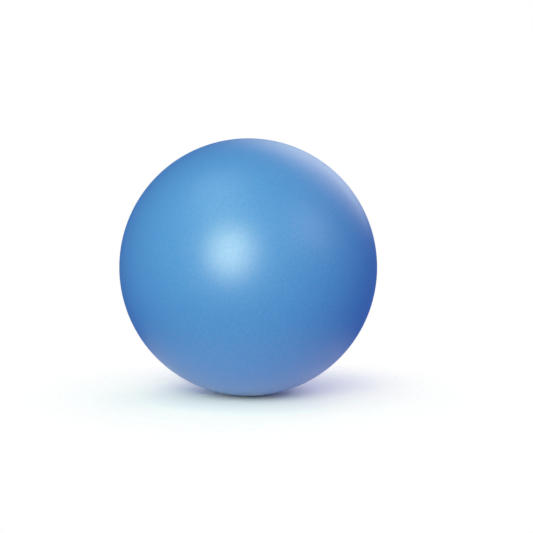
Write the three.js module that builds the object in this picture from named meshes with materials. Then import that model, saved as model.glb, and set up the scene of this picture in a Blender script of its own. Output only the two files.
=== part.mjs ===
// Croquet ball: a solid composition core inside a moulded cover of two halves, whose rims lap into
// each other. Millimetres, with +Z up and the origin at the centre of the ball. The Y axis runs through
// the poles of the two halves, from the front one to the rear one, so the seam is a circle at y = 0.

import * as THREE from 'three';

// Driving dimensions
const ballDiameter = 92.075; // 3 5/8 inches
const coverWall = 6.4;
const bondGap = 0.3; // film of adhesive between one piece and the next

// Lap joint at the seam: a spigot round the front half's rim sits in a socket in the rear half's rim
const spigotDepth = 4;
const spigotLead = 0.5; // chamfer that leads the spigot into its socket
const seamBreak = 0.2; // broken outer edge of each rim

// Facets
const facetsAround = 72;
const outerSteps = 18; // from a rim to its pole
const innerSteps = 12;

// Radii that follow from the driving dimensions
const ballRadius = ballDiameter / 2;
const cavityRadius = ballRadius - coverWall;
const coreRadius = cavityRadius - bondGap;
const spigotWall = (coverWall - bondGap) / 2; // spigot and socket share the cover's wall equally
const spigotRadius = cavityRadius + spigotWall;
const socketRadius = spigotRadius + bondGap;
const ledgeHeight = spigotDepth + bondGap; // the shoulder in the rear half that the spigot's end faces

// A quarter turn, from the seam to a pole
const pole = Math.PI / 2;

// Points of a circular arc about the centre, between two angles above the seam, both ends included.
// A point on the axis gets a radius of exactly zero, so that the turned surface closes there.
function arc(radius, fromAngle, toAngle, steps) {
  return Array.from({ length: steps + 1 }, (_, i) => {
    const angle = THREE.MathUtils.lerp(fromAngle, toAngle, i / steps);
    const onAxis = Math.abs(angle) === pole;
    return new THREE.Vector2(onAxis ? 0 : radius * Math.cos(angle), radius * Math.sin(angle));
  });
}

// The rim's outer corner is a small chamfer: the arc stops short of the seam by seamBreak, at this
// angle, and the rim's flat face starts that much further in
const breakAngle = Math.asin(seamBreak / ballRadius);
const rimRadius = ballRadius * Math.cos(breakAngle) - seamBreak;
const ledgeAngle = Math.asin(ledgeHeight / cavityRadius);

// Each profile runs anticlockwise about its section, from the axis to the axis, with the radius first
function frontHalfProfile() {
  return [
    ...arc(ballRadius, -pole, -breakAngle, outerSteps),
    new THREE.Vector2(rimRadius, 0),
    new THREE.Vector2(spigotRadius, 0),
    new THREE.Vector2(spigotRadius, spigotDepth - spigotLead),
    new THREE.Vector2(spigotRadius - spigotLead, spigotDepth),
    new THREE.Vector2(cavityRadius, spigotDepth),
    ...arc(cavityRadius, 0, -pole, innerSteps),
  ];
}

function rearHalfProfile() {
  return [
    ...arc(cavityRadius, pole, ledgeAngle, innerSteps),
    new THREE.Vector2(socketRadius, ledgeHeight),
    new THREE.Vector2(socketRadius, 0),
    new THREE.Vector2(rimRadius, 0),
    ...arc(ballRadius, breakAngle, pole, outerSteps),
  ];
}

// The core is a sphere that fills the cavity, less the film of adhesive
function coreProfile() {
  return arc(coreRadius, -pole, pole, 2 * innerSteps);
}

function turned(name, profile, material) {
  const mesh = new THREE.Mesh(new THREE.LatheGeometry(profile, facetsAround), material);
  mesh.name = name;
  return mesh;
}

const coverPlastic = new THREE.MeshStandardMaterial({ color: '#5a98d2', roughness: 0.42, metalness: 0 });
const coreComposition = new THREE.MeshStandardMaterial({ color: '#6f5138', roughness: 0.85, metalness: 0 });

const ball = new THREE.Group();
ball.add(turned('core', coreProfile(), coreComposition));
ball.add(turned('front_cover_half', frontHalfProfile(), coverPlastic));
ball.add(turned('rear_cover_half', rearHalfProfile(), coverPlastic));

export default ball;
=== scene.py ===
import math

import bpy
import numpy as np
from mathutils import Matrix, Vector


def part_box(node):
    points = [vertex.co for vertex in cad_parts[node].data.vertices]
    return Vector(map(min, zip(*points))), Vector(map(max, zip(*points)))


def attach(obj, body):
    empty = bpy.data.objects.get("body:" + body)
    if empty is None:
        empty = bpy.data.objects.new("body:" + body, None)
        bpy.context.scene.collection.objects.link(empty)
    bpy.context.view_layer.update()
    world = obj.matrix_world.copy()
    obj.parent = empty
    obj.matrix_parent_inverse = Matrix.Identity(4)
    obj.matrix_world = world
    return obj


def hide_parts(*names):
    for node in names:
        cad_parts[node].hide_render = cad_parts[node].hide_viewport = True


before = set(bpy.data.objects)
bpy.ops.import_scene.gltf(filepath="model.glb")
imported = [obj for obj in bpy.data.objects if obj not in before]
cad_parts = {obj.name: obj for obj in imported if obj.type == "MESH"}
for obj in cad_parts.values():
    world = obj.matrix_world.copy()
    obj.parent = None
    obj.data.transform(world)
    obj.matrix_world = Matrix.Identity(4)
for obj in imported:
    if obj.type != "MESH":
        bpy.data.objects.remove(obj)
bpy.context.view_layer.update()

# Sizes that the frame gives
frontLow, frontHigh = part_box("front_cover_half")
coreLow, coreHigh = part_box("core")
ballRadius = -frontLow.y
spigotDepth = frontHigh.y
coreRadius = coreHigh.y
print("frame loaded: ball", round(2 * ballRadius, 5), "m across, core", round(2 * coreRadius, 5), "m")


# The camera. The photograph is 533 x 533 pixels, and the ball's outline in it is a circle.
photo = {
    "width": 533,  # pixels
    "ballCentre": (248.34, 267.17),  # pixels, from the top left corner
    "ballOutline": 128.95,  # pixels, its radius
    "lens": 100,  # millimetres
    "elevation": 5,  # degrees above the horizon
    "clip": 100,  # how many times nearer and farther than the ball the camera sees
}


def towards(azimuth, elevation):
    # A direction out from the ball, in degrees: azimuth 0 is the camera's side, and it grows to the right
    a, e = math.radians(azimuth), math.radians(elevation)
    return Vector((math.sin(a) * math.cos(e), -math.cos(a) * math.cos(e), math.sin(e)))


def addCamera():
    # The distance is the ball's radius over the sine of the angle that its outline spans in the lens, and the
    # camera looks past the ball by as much as puts the outline's centre at its place in the photograph
    lens = bpy.data.cameras.new("photoCamera")
    lens.lens = photo["lens"]
    camera = bpy.data.objects.new("photoCamera", lens)
    bpy.context.scene.collection.objects.link(camera)
    pixels = lens.lens / lens.sensor_width * photo["width"]  # per unit of tangent
    distance = ballRadius / math.sin(math.atan(photo["ballOutline"] / pixels))
    back = towards(0, photo["elevation"])
    right = Vector((1, 0, 0))
    up = back.cross(right)
    middle = photo["width"] / 2
    aimRight = (middle - photo["ballCentre"][0]) / pixels * distance
    aimUp = (photo["ballCentre"][1] - middle) / pixels * distance
    camera.location = back * distance
    look = right * aimRight + up * aimUp - camera.location
    camera.rotation_euler = look.to_track_quat("-Z", "Y").to_euler()
    lens.clip_start, lens.clip_end = distance / photo["clip"], distance * photo["clip"]
    bpy.context.scene.camera = camera


addCamera()
print("camera placed")


# Node helpers
def newMaterial(name):
    material = bpy.data.materials.new(name)
    material.use_nodes = True
    material.node_tree.nodes.clear()
    return material, material.node_tree


def addNode(tree, kind, place, **settings):
    node = tree.nodes.new(kind)
    node.location = place
    for key, value in settings.items():
        setattr(node, key, value)
    return node


def setInputs(node, **values):
    for name, value in values.items():
        node.inputs[name.replace("_", " ")].default_value = value


def makeMouldGrain():
    # One group for every moulded surface: a slow drift of the pigment, and a fine grain in its tint and gloss
    group = bpy.data.node_groups.new("mouldGrain", "ShaderNodeTree")
    face = group.interface
    face.new_socket("Vector", in_out="INPUT", socket_type="NodeSocketVector")
    for name, start in (
        ("Mottle Size", 0.02), ("Mottle Amount", 0.5), ("Speck Amount", 0), ("Grain Size", 0.001),
        ("Grain Detail", 2), ("Roughness", 0.4), ("Roughness Spread", 0.05), ("Gloss", 0), ("Gloss Spread", 0),
    ):
        face.new_socket(name, in_out="INPUT", socket_type="NodeSocketFloat").default_value = start
    for name in ("Colour", "Mottle Colour", "Speck Colour"):
        face.new_socket(name, in_out="INPUT", socket_type="NodeSocketColor")
    face.new_socket("Colour", in_out="OUTPUT", socket_type="NodeSocketColor")
    for name in ("Roughness", "Gloss", "Height"):
        face.new_socket(name, in_out="OUTPUT", socket_type="NodeSocketFloat")
    given = addNode(group, "NodeGroupInput", (-1100, 0))
    result = addNode(group, "NodeGroupOutput", (700, 0))

    def noise(sizeSocket, place, detail=None):
        # Noise whose features are as large as the size: its scale is one over the size
        scale = addNode(group, "ShaderNodeMath", (place[0] - 200, place[1]), operation="DIVIDE")
        scale.inputs[0].default_value = 1
        group.links.new(given.outputs[sizeSocket], scale.inputs[1])
        texture = addNode(group, "ShaderNodeTexNoise", place)
        group.links.new(given.outputs["Vector"], texture.inputs["Vector"])
        group.links.new(scale.outputs[0], texture.inputs["Scale"])
        if detail:
            group.links.new(given.outputs[detail], texture.inputs["Detail"])
        return texture.outputs["Fac"]

    drift = noise("Mottle Size", (-500, 300))
    grain = noise("Grain Size", (-500, -300), "Grain Detail")

    # The pigment drifts from one tint towards another
    amount = addNode(group, "ShaderNodeMath", (0, 200), operation="MULTIPLY")
    group.links.new(drift, amount.inputs[0])
    group.links.new(given.outputs["Mottle Amount"], amount.inputs[1])
    colour = addNode(group, "ShaderNodeMix", (300, 200), data_type="RGBA")
    group.links.new(amount.outputs[0], colour.inputs["Factor"])
    group.links.new(given.outputs["Colour"], colour.inputs["A"])
    group.links.new(given.outputs["Mottle Colour"], colour.inputs["B"])
    # Fine specks of another tint, where the grain is high
    speck = addNode(group, "ShaderNodeMath", (300, 450), operation="MULTIPLY")
    group.links.new(grain, speck.inputs[0])
    group.links.new(given.outputs["Speck Amount"], speck.inputs[1])
    specked = addNode(group, "ShaderNodeMix", (500, 300), data_type="RGBA")
    group.links.new(speck.outputs[0], specked.inputs["Factor"])
    group.links.new(colour.outputs["Result"], specked.inputs["A"])
    group.links.new(given.outputs["Speck Colour"], specked.inputs["B"])
    group.links.new(specked.outputs["Result"], result.inputs["Colour"])

    # roughness = middle + spread x (drift + grain - 1)
    both = addNode(group, "ShaderNodeMath", (0, -50), operation="ADD")
    group.links.new(drift, both.inputs[0])
    group.links.new(grain, both.inputs[1])
    centred = addNode(group, "ShaderNodeMath", (150, -50), operation="SUBTRACT")
    group.links.new(both.outputs[0], centred.inputs[0])
    centred.inputs[1].default_value = 1
    rough = addNode(group, "ShaderNodeMath", (300, -50), operation="MULTIPLY_ADD", use_clamp=True)
    group.links.new(centred.outputs[0], rough.inputs[0])
    group.links.new(given.outputs["Roughness Spread"], rough.inputs[1])
    group.links.new(given.outputs["Roughness"], rough.inputs[2])
    group.links.new(rough.outputs[0], result.inputs["Roughness"])

    # gloss = middle + spread x (grain - 1/2)
    about = addNode(group, "ShaderNodeMath", (150, -300), operation="SUBTRACT")
    group.links.new(grain, about.inputs[0])
    about.inputs[1].default_value = 0.5
    gloss = addNode(group, "ShaderNodeMath", (300, -300), operation="MULTIPLY_ADD", use_clamp=True)
    group.links.new(about.outputs[0], gloss.inputs[0])
    group.links.new(given.outputs["Gloss Spread"], gloss.inputs[1])
    group.links.new(given.outputs["Gloss"], gloss.inputs[2])
    group.links.new(gloss.outputs[0], result.inputs["Gloss"])
    group.links.new(grain, result.inputs["Height"])
    return group


mouldGrain = makeMouldGrain()


def placeGrain(tree, where, **values):
    # The group in a material, on the Object coordinates that where gives
    grain = addNode(tree, "ShaderNodeGroup", (-700, 0), node_tree=mouldGrain)
    tree.links.new(where.outputs["Object"], grain.inputs["Vector"])
    setInputs(grain, **values)
    return grain


# The cover's plastic
coverLook = {
    "colour": (0.056, 0.286, 0.589, 1),
    "mottleColour": (0.060, 0.295, 0.609, 1),
    "speckAndGlintColour": (0.150, 0.340, 0.652, 1),  # paler specks, partly the moulding's fine grain and partly painted glints of its gloss; the fine grain mixes them in, by about a half on average
    "mottleSize": 0.025,
    "mottleAmount": 1,
    "speckAndGlintAmount": 1,
    "roughness": 0.41,
    "roughnessSpread": 0.04,
    "ior": 1.59,
    "gloss": 0.535,  # the sealed top of the plastic, as a coat
    "glossSpread": 0.5,  # how much the fine grain changes it
    "glossRoughness": 0.263,
    "glossIor": 1.5,
    "grainSize": 0.0009,
    "grainDetail": 1.5,
    "grainDepth": 0.00003,
    "seamColour": (0.03, 0.13, 0.33, 1),
    "seamWidth": 0.00016,  # half the width of the film of adhesive that shows in the seam
}


def makeCoverPlastic():
    material, tree = newMaterial("coverPlastic")
    where = addNode(tree, "ShaderNodeTexCoord", (-950, 0))
    # Its paler specks are partly the moulding's fine grain and partly painted glints, which stand in for the
    # sparkle of its gloss
    grain = placeGrain(
        tree, where,
        Colour=coverLook["colour"],
        Mottle_Colour=coverLook["mottleColour"], Mottle_Size=coverLook["mottleSize"],
        Mottle_Amount=coverLook["mottleAmount"],
        Speck_Colour=coverLook["speckAndGlintColour"], Speck_Amount=coverLook["speckAndGlintAmount"],
        Grain_Size=coverLook["grainSize"], Grain_Detail=coverLook["grainDetail"],
        Roughness=coverLook["roughness"], Roughness_Spread=coverLook["roughnessSpread"],
        Gloss=coverLook["gloss"], Gloss_Spread=coverLook["glossSpread"],
    )
    # The adhesive in the seam: a mask that is 1 at y = 0 and fades to 0 at the seam's width
    axes = addNode(tree, "ShaderNodeSeparateXYZ", (-700, 400))
    tree.links.new(where.outputs["Object"], axes.inputs[0])
    away = addNode(tree, "ShaderNodeMath", (-500, 400), operation="ABSOLUTE")
    tree.links.new(axes.outputs["Y"], away.inputs[0])
    seam = addNode(tree, "ShaderNodeMapRange", (-300, 400), interpolation_type="SMOOTHSTEP")
    setInputs(seam, From_Min=0, From_Max=coverLook["seamWidth"], To_Min=1, To_Max=0)
    tree.links.new(away.outputs[0], seam.inputs["Value"])
    colour = addNode(tree, "ShaderNodeMix", (-100, 200), data_type="RGBA")
    colour.inputs["B"].default_value = coverLook["seamColour"]
    tree.links.new(seam.outputs["Result"], colour.inputs["Factor"])
    tree.links.new(grain.outputs["Colour"], colour.inputs["A"])

    bump = addNode(tree, "ShaderNodeBump", (-100, -300))
    setInputs(bump, Strength=1, Distance=coverLook["grainDepth"])
    tree.links.new(grain.outputs["Height"], bump.inputs["Height"])
    plastic = addNode(tree, "ShaderNodeBsdfPrincipled", (200, 0))
    setInputs(
        plastic, IOR=coverLook["ior"], Coat_Roughness=coverLook["glossRoughness"], Coat_IOR=coverLook["glossIor"],
    )
    tree.links.new(grain.outputs["Gloss"], plastic.inputs["Coat Weight"])
    tree.links.new(colour.outputs["Result"], plastic.inputs["Base Color"])
    tree.links.new(grain.outputs["Roughness"], plastic.inputs["Roughness"])
    tree.links.new(bump.outputs["Normal"], plastic.inputs["Normal"])
    output = addNode(tree, "ShaderNodeOutputMaterial", (500, 0))
    tree.links.new(plastic.outputs["BSDF"], output.inputs["Surface"])
    return material


# The core's composition: granules of cork in dark rubber
coreLook = {
    "rubber": (0.035, 0.022, 0.016, 1),
    "rubberMottle": (0.055, 0.034, 0.022, 1),
    "darkCork": (0.16, 0.075, 0.03, 1),
    "paleCork": (0.42, 0.24, 0.11, 1),
    "mottleSize": 0.006,
    "mottleAmount": 1,
    "roughness": 0.82,
    "roughnessSpread": 0.15,
    "ior": 1.5,
    "grainSize": 0.0005,
    "grainDetail": 3,
    "grainDepth": 0.00004,
}


def makeCoreComposition():
    material, tree = newMaterial("coreComposition")
    grain = placeGrain(
        tree, addNode(tree, "ShaderNodeTexCoord", (-950, 0)),
        Colour=coreLook["rubber"],
        Mottle_Colour=coreLook["rubberMottle"], Mottle_Size=coreLook["mottleSize"],
        Mottle_Amount=coreLook["mottleAmount"],
        Grain_Size=coreLook["grainSize"], Grain_Detail=coreLook["grainDetail"],
        Roughness=coreLook["roughness"], Roughness_Spread=coreLook["roughnessSpread"],
    )
    # Cork from dark to pale by each granule's own tone, laid over the rubber where the granule's crown is
    tone = addNode(tree, "ShaderNodeAttribute", (-700, 400), attribute_name="granuleTone")
    cork = addNode(tree, "ShaderNodeMix", (-400, 400), data_type="RGBA")
    cork.inputs["A"].default_value = coreLook["darkCork"]
    cork.inputs["B"].default_value = coreLook["paleCork"]
    tree.links.new(tone.outputs["Fac"], cork.inputs["Factor"])
    crown = addNode(tree, "ShaderNodeAttribute", (-700, 600), attribute_name="granuleCrown")
    colour = addNode(tree, "ShaderNodeMix", (-100, 200), data_type="RGBA")
    tree.links.new(crown.outputs["Fac"], colour.inputs["Factor"])
    tree.links.new(grain.outputs["Colour"], colour.inputs["A"])
    tree.links.new(cork.outputs["Result"], colour.inputs["B"])

    bump = addNode(tree, "ShaderNodeBump", (-100, -300))
    setInputs(bump, Strength=1, Distance=coreLook["grainDepth"])
    tree.links.new(grain.outputs["Height"], bump.inputs["Height"])
    composition = addNode(tree, "ShaderNodeBsdfPrincipled", (200, 0))
    composition.inputs["IOR"].default_value = coreLook["ior"]
    tree.links.new(colour.outputs["Result"], composition.inputs["Base Color"])
    tree.links.new(grain.outputs["Roughness"], composition.inputs["Roughness"])
    tree.links.new(bump.outputs["Normal"], composition.inputs["Normal"])
    output = addNode(tree, "ShaderNodeOutputMaterial", (500, 0))
    tree.links.new(composition.outputs["BSDF"], output.inputs["Surface"])
    return material


# Surfaces
sharpAngle = 30  # degrees between two faces, over which their edge is sharp


def circleArc(radius, start, end, count, centre=(0, 0)):
    # Points (r, y) of an arc, with r = centre + radius cos(angle) and y = centre + radius sin(angle)
    angle = np.linspace(start, end, count)
    return np.stack([centre[0] + radius * np.cos(angle), centre[1] + radius * np.sin(angle)], axis=1)


def fullTurn(around):
    # Angles all round, without the last, which is the first again
    return np.linspace(0, 2 * math.pi, around, endpoint=False)


def joinRings(first, rings, last=None):
    # A first point, the rings of points after it and a last point if there is one: four-sided faces join each
    # ring to the next, and triangles close the ends
    count, around = rings.shape[:2]
    here = np.arange(around)
    after = np.roll(here, -1)
    ring = 1 + around * np.arange(count - 1)[:, None]
    quads = np.stack([ring + here, ring + around + here, ring + around + after, ring + after], axis=-1)
    points = [[first], rings.reshape(-1, 3)]
    caps = [np.stack([np.zeros_like(here), 1 + here, 1 + after], axis=-1)]
    if last:
        lastRing = 1 + around * (count - 1)
        points.append([last])
        caps.append(np.stack([lastRing + here, np.full_like(here, lastRing + around), lastRing + after], axis=-1))
    return np.vstack(points), quads.reshape(-1, 4), np.vstack(caps)


def turnedSurface(profile, around):
    # The profile carried round the Y axis: x = r cos(turn), y = y, z = r sin(turn). It runs anticlockwise,
    # and starts and ends on the axis, where a whole ring is one point. The faces look outward.
    radius, along = profile[1:-1].T
    turn = fullTurn(around)
    rings = np.stack([
        np.outer(radius, np.cos(turn)),
        np.repeat(along[:, None], around, axis=1),
        np.outer(radius, np.sin(turn)),
    ], axis=-1)
    return joinRings((0, profile[0, 1], 0), rings, (0, profile[-1, 1], 0))


def addMesh(name, surface, material):
    points, quads, caps = surface
    mesh = bpy.data.meshes.new(name)
    mesh.from_pydata(points.tolist(), [], quads.tolist() + caps.tolist())
    mesh.shade_smooth()
    mesh.materials.append(material)
    item = bpy.data.objects.new(name, mesh)
    bpy.context.scene.collection.objects.link(item)
    return item


def addPiece(name, surface, material, node):
    # A piece of the ball, in place of its plain solid
    piece = addMesh(name, surface, material)
    piece.data.set_sharp_from_angle(angle=math.radians(sharpAngle))
    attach(piece, "root")
    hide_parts(node)
    return piece


# The cover: two cups, whose rims lap into each other at the seam
cover = {
    "bondGap": 0.0003,  # film of adhesive
    "spigotLead": 0.0005,
    "seamBreak": 0.0002,  # radius of each rim's outer edge
    "rootFillet": 0.00025,  # where the spigot rises from its rim
    "edgeRound": 0.0003,  # the cavity's edge in each half
    "around": 384,
    "outerRows": 120,
    "innerRows": 60,
    "filletRows": 6,
}
halfTurn = math.pi
quarterTurn = math.pi / 2
cavityRadius = coreRadius + cover["bondGap"]
spigotRadius = (cavityRadius + ballRadius - cover["bondGap"]) / 2
socketRadius = spigotRadius + cover["bondGap"]
ledgeHeight = spigotDepth + cover["bondGap"]
breakAngle = math.asin(cover["seamBreak"] / ballRadius)
rimCentre = ballRadius * math.cos(breakAngle) - cover["seamBreak"]


def frontCover():
    # The profile: from the pole along the outside to the rounded rim, in over the rim's face, through the root
    # fillet and up the spigot, over its end with the lead-in chamfer, and along the cavity back to the axis
    lead, edge, root = cover["spigotLead"], cover["seamBreak"], cover["rootFillet"]
    soft, rows = cover["edgeRound"], cover["filletRows"]
    profile = np.vstack([
        circleArc(ballRadius, -quarterTurn, -breakAngle, cover["outerRows"]),
        circleArc(edge, 0, quarterTurn, rows, (rimCentre, -edge))[1:],  # rounded rim
        circleArc(root, -quarterTurn, -halfTurn, rows, (spigotRadius + root, root)),
        [[spigotRadius, spigotDepth - lead]],
        [[spigotRadius - lead, spigotDepth]],
        circleArc(soft, quarterTurn, halfTurn, rows, (cavityRadius + soft, spigotDepth - soft)),
        circleArc(cavityRadius, 0, -quarterTurn, cover["innerRows"]),
    ])
    profile[[0, -1], 0] = 0  # both ends exactly on the axis
    return profile


def rearCover():
    # The profile: from the axis along the cavity to the socket's ledge, down the socket's wall, out over the
    # rim's face to its rounded edge, and along the outside to the pole
    edge, soft, rows = cover["seamBreak"], cover["edgeRound"], cover["filletRows"]
    ledgeAngle = math.asin(ledgeHeight / cavityRadius)
    profile = np.vstack([
        circleArc(cavityRadius, quarterTurn, ledgeAngle, cover["innerRows"]),
        circleArc(soft, quarterTurn, 0, rows, (socketRadius - soft, ledgeHeight - soft)),
        [[socketRadius, 0]],
        circleArc(edge, -quarterTurn, 0, rows, (rimCentre, edge))[:-1],  # rounded rim
        circleArc(ballRadius, breakAngle, quarterTurn, cover["outerRows"]),
    ])
    profile[[0, -1], 0] = 0  # both ends exactly on the axis
    return profile


coverPlastic = makeCoverPlastic()
for name, profile, node in (
    ("frontCover", frontCover(), "front_cover_half"),
    ("rearCover", rearCover(), "rear_cover_half"),
):
    addPiece(name, turnedSurface(profile, cover["around"]), coverPlastic, node)
print("cover halves made")


# The core: a moulded ball whose granules stand a little proud of the rubber between them
core = {
    "granuleSize": 0.0028,
    "granuleEdge": 0.5,  # the share of that size over which a granule rises from its border to its crown
    "granuleDepth": 0.00022,
    "around": 400,
    "rows": 230,
}


def granules(points, size):
    # Each point's distance to the nearest and the next nearest of one scattered seed in every cube of a
    # grid, and the nearest seed's tone. A seed's place and tone are the fraction of a large sine of its cube.
    salts = np.array([
        [12.9898, 78.233, 37.719],
        [39.346, 11.135, 83.155],
        [73.156, 52.235, 9.151],
        [5.17, 31.7, 64.3],
    ])
    sineScale = 43758.5453
    cube = np.floor(points / size)
    first = np.full(len(points), np.inf)
    second = np.full(len(points), np.inf)
    tone = np.zeros(len(points))
    for step in np.ndindex(3, 3, 3):
        neighbour = cube + np.array(step) - 1
        share = np.modf(np.abs(np.sin(neighbour @ salts.T)) * sineScale)[0]
        distance = np.linalg.norm((neighbour + share[:, :3]) * size - points, axis=1)
        second = np.minimum(second, np.maximum(first, distance))
        tone = np.where(distance < first, share[:, 3], tone)
        first = np.minimum(first, distance)
    return first, second, tone


def makeCore():
    profile = circleArc(coreRadius, -quarterTurn, quarterTurn, core["rows"])
    profile[[0, -1], 0] = 0  # both ends exactly on the axis
    points, quads, caps = turnedSurface(profile, core["around"])
    nearest, nextNearest, tone = granules(points, core["granuleSize"])
    # A granule's crown is 1 at its middle and 0 at its border, where the two nearest seeds are equally far. It is
    # eased by 3 c c - 2 c c c, and the radius is smaller by the depth times what is left of 1.
    crown = np.clip((nextNearest - nearest) / (core["granuleSize"] * core["granuleEdge"]), 0, 1)
    crown = crown * crown * (3 - 2 * crown)
    sunk = core["granuleDepth"] * (1 - crown)
    points *= 1 - (sunk / coreRadius)[:, None]
    surface = (points, quads, caps)
    piece = addPiece("compositionCore", surface, makeCoreComposition(), "core")
    for name, values in (("granuleCrown", crown), ("granuleTone", tone)):
        attribute = piece.data.attributes.new(name, "FLOAT", "POINT")
        attribute.data.foreach_set("value", values.astype(np.float32))


makeCore()
print("core made")


# The studio: a small pale floor, a dim cool tent all round, and soft lamps
studio = {
    "floorRadius": 0.12,
    "floorRings": 12,
    "floorSeen": (1.65, 1.47, 1.22, 1),  # its colour to the camera and in the gloss
    "floorBounce": (1.0, 0.75, 0.98, 1),  # its colour for the light that it throws on the ball
    "fadeFrom": 0.01,  # the floor fades away between these distances from the ball
    "fadeTo": 0.09,
    "around": 96,  # points round the floor and the tent
    "tentRadius": 1.5,
    "tentRows": 48,
    "tentColour": (0.43, 0.91, 2.66, 1),
    "tentGlow": 0.172,
    "lampDistance": 1.0,
    "lampMiddle": 0.1,  # the share of a lamp's radius that is bright, and from there it fades to its rim
}
# Azimuth and elevation are in degrees, as towards() takes them, and the sizes in metres
lamps = {
    "keySoftbox": {
        "azimuth": -15.5, "elevation": 16.3, "width": 1.09, "height": 1.21,
        "watts": 25.41, "colour": (0.924, 1, 0.714),
    },
    "upperSoftbox": {
        "azimuth": -20.7, "elevation": 33.6, "width": 1.3, "height": 1.3,
        "watts": 3.54, "colour": (0.675, 1, 0.273),
    },
    "leftSoftbox": {
        "azimuth": -60.6, "elevation": 65.3, "width": 1.2, "height": 1.2,
        "watts": 3.97, "colour": (0.836, 1, 0.75),
    },
    "rightSoftbox": {
        "azimuth": 63.3, "elevation": 31.5, "width": 1.1, "height": 1.1,
        "watts": 3.44, "colour": (1, 0.784, 0.703),
    },
    "rimSoftbox": {
        "azimuth": 144, "elevation": 35, "width": 1.3, "height": 1.3,
        "watts": 4.2, "colour": (1, 0.886, 0.8),
    },
    "rearRimSoftbox": {
        "azimuth": 165, "elevation": 35, "width": 1, "height": 1,
        "watts": 1.43, "colour": (1, 1, 0.775),
    },
    "lowRimSoftbox": {
        "azimuth": 150, "elevation": 15, "width": 0.5, "height": 0.5,
        "watts": 0.49, "colour": (0.888, 1, 0.959),
    },
    "edgeRimSoftbox": {
        "azimuth": 167.4, "elevation": 15.5, "width": 0.8, "height": 0.8,
        "watts": 1.01, "colour": (0.861, 1, 0.871),
    },
}


def discSurface(radius, height, rings, around):
    # Rings of growing radius at one height: x = r cos(turn), y = r sin(turn)
    turn = fullTurn(around)
    spread = np.linspace(0, radius, rings + 1)[1:]
    flat = np.stack([
        np.outer(spread, np.cos(turn)), np.outer(spread, np.sin(turn)), np.full((rings, around), height),
    ], axis=-1)
    return joinRings((0, 0, height), flat)


def makeFloor():
    material, tree = newMaterial("paleFloor")
    # Camera, glossy and transmission rays find one colour, and all others the other
    rays = addNode(tree, "ShaderNodeLightPath", (-900, 300))
    seen = addNode(tree, "ShaderNodeMath", (-700, 300), operation="MAXIMUM")
    tree.links.new(rays.outputs["Is Camera Ray"], seen.inputs[0])
    tree.links.new(rays.outputs["Is Glossy Ray"], seen.inputs[1])
    seenToo = addNode(tree, "ShaderNodeMath", (-550, 300), operation="MAXIMUM")
    tree.links.new(seen.outputs[0], seenToo.inputs[0])
    tree.links.new(rays.outputs["Is Transmission Ray"], seenToo.inputs[1])
    colour = addNode(tree, "ShaderNodeMix", (-350, 300), data_type="RGBA")
    colour.inputs["A"].default_value = studio["floorBounce"]
    colour.inputs["B"].default_value = studio["floorSeen"]
    tree.links.new(seenToo.outputs[0], colour.inputs["Factor"])
    floor = addNode(tree, "ShaderNodeBsdfDiffuse", (-100, 300))
    tree.links.new(colour.outputs["Result"], floor.inputs["Color"])

    # The floor fades away with the distance from the ball, so no edge shows against the white background
    where = addNode(tree, "ShaderNodeTexCoord", (-900, 0))
    flat = addNode(tree, "ShaderNodeVectorMath", (-800, 0), operation="MULTIPLY")
    flat.inputs[1].default_value = (1, 1, 0)
    tree.links.new(where.outputs["Object"], flat.inputs[0])
    far = addNode(tree, "ShaderNodeVectorMath", (-650, 0), operation="LENGTH")
    tree.links.new(flat.outputs[0], far.inputs[0])
    fade = addNode(tree, "ShaderNodeMapRange", (-500, 0), interpolation_type="SMOOTHSTEP")
    setInputs(fade, From_Min=studio["fadeFrom"], From_Max=studio["fadeTo"], To_Min=0, To_Max=1)
    tree.links.new(far.outputs["Value"], fade.inputs["Value"])
    clear = addNode(tree, "ShaderNodeBsdfTransparent", (-100, 0))
    both = addNode(tree, "ShaderNodeMixShader", (150, 200))
    tree.links.new(fade.outputs["Result"], both.inputs[0])
    tree.links.new(floor.outputs[0], both.inputs[1])
    tree.links.new(clear.outputs[0], both.inputs[2])
    output = addNode(tree, "ShaderNodeOutputMaterial", (400, 200))
    tree.links.new(both.outputs[0], output.inputs["Surface"])
    surface = discSurface(studio["floorRadius"], -ballRadius, studio["floorRings"], studio["around"])
    addMesh("floor", surface, material)


def tentSurface(radius, rows, around):
    # A sphere about the ball, of rings about the Z axis: x = r cos(angle) cos(turn), y = r cos(angle) sin(turn),
    # z = r sin(angle), from the lowest point to the highest
    angle = np.linspace(-quarterTurn, quarterTurn, rows + 1)[1:-1, None]
    turn = fullTurn(around)
    rings = np.stack([
        radius * np.cos(angle) * np.cos(turn),
        radius * np.cos(angle) * np.sin(turn),
        radius * np.sin(angle) * np.ones(around),
    ], axis=-1)
    return joinRings((0, 0, -radius), rings, (0, 0, radius))


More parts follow.
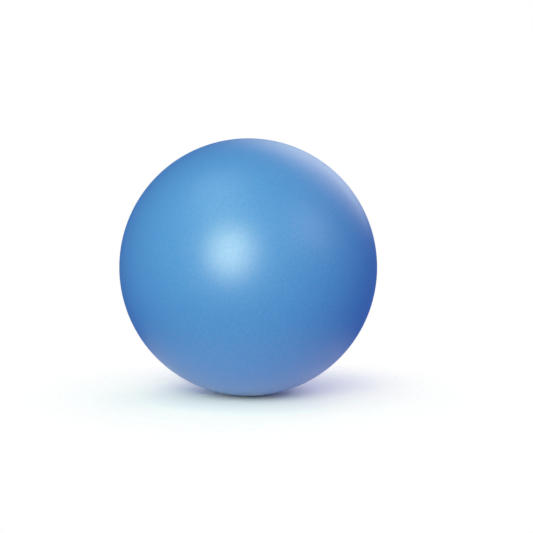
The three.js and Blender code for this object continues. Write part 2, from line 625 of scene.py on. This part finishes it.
def makeTent():
    # Its cloth gives off a dim even light, which the ball's gloss shows along the outline
    material, tree = newMaterial("tentCloth")
    glow = addNode(tree, "ShaderNodeEmission", (-100, 0))
    setInputs(glow, Color=studio["tentColour"], Strength=studio["tentGlow"])
    output = addNode(tree, "ShaderNodeOutputMaterial", (150, 0))
    tree.links.new(glow.outputs[0], output.inputs["Surface"])
    tent = addMesh("tent", tentSurface(studio["tentRadius"], studio["tentRows"], studio["around"]), material)
    tent.visible_camera = False  # it hides the white background from the ball, but not from the camera


def addLamp(name, look):
    # A soft oval face that looks at the ball's middle from its direction and distance
    light = bpy.data.lights.new(name, "AREA")
    light.shape = "ELLIPSE"
    light.size, light.size_y = look["width"], look["height"]
    light.energy = look["watts"]
    light.color = look["colour"]
    # The glow fades from the middle to the rim, by the distance from the middle of the lamp's own face
    light.use_nodes = True
    tree = light.node_tree
    face = addNode(tree, "ShaderNodeNewGeometry", (-800, 0))
    away = addNode(tree, "ShaderNodeVectorMath", (-600, 0), operation="DISTANCE")
    away.inputs[1].default_value = (0.5, 0.5, 0)
    tree.links.new(face.outputs["Parametric"], away.inputs[0])
    fall = addNode(tree, "ShaderNodeMapRange", (-400, 0), interpolation_type="SMOOTHSTEP")
    setInputs(fall, From_Min=studio["lampMiddle"] / 2, From_Max=0.5, To_Min=1, To_Max=0)
    tree.links.new(away.outputs["Value"], fall.inputs["Value"])
    tree.links.new(fall.outputs["Result"], tree.nodes["Emission"].inputs["Strength"])
    lamp = bpy.data.objects.new(name, light)
    bpy.context.scene.collection.objects.link(lamp)
    lamp.location = towards(look["azimuth"], look["elevation"]) * studio["lampDistance"]
    lamp.rotation_euler = (-lamp.location).to_track_quat("-Z", "Y").to_euler()
    lamp.visible_camera = False


def makeWorld():
    # Plain white at strength 1, which only the camera sees, because the tent stands round all the rest
    world = bpy.data.worlds.new("whiteBackground")
    world.use_nodes = True
    world.node_tree.nodes["Background"].inputs["Color"].default_value = (1, 1, 1, 1)
    bpy.context.scene.world = world


makeFloor()
makeTent()
makeWorld()
for name, look in lamps.items():
    addLamp(name, look)
bpy.context.scene.view_settings.view_transform = "Standard"
print("studio lit")
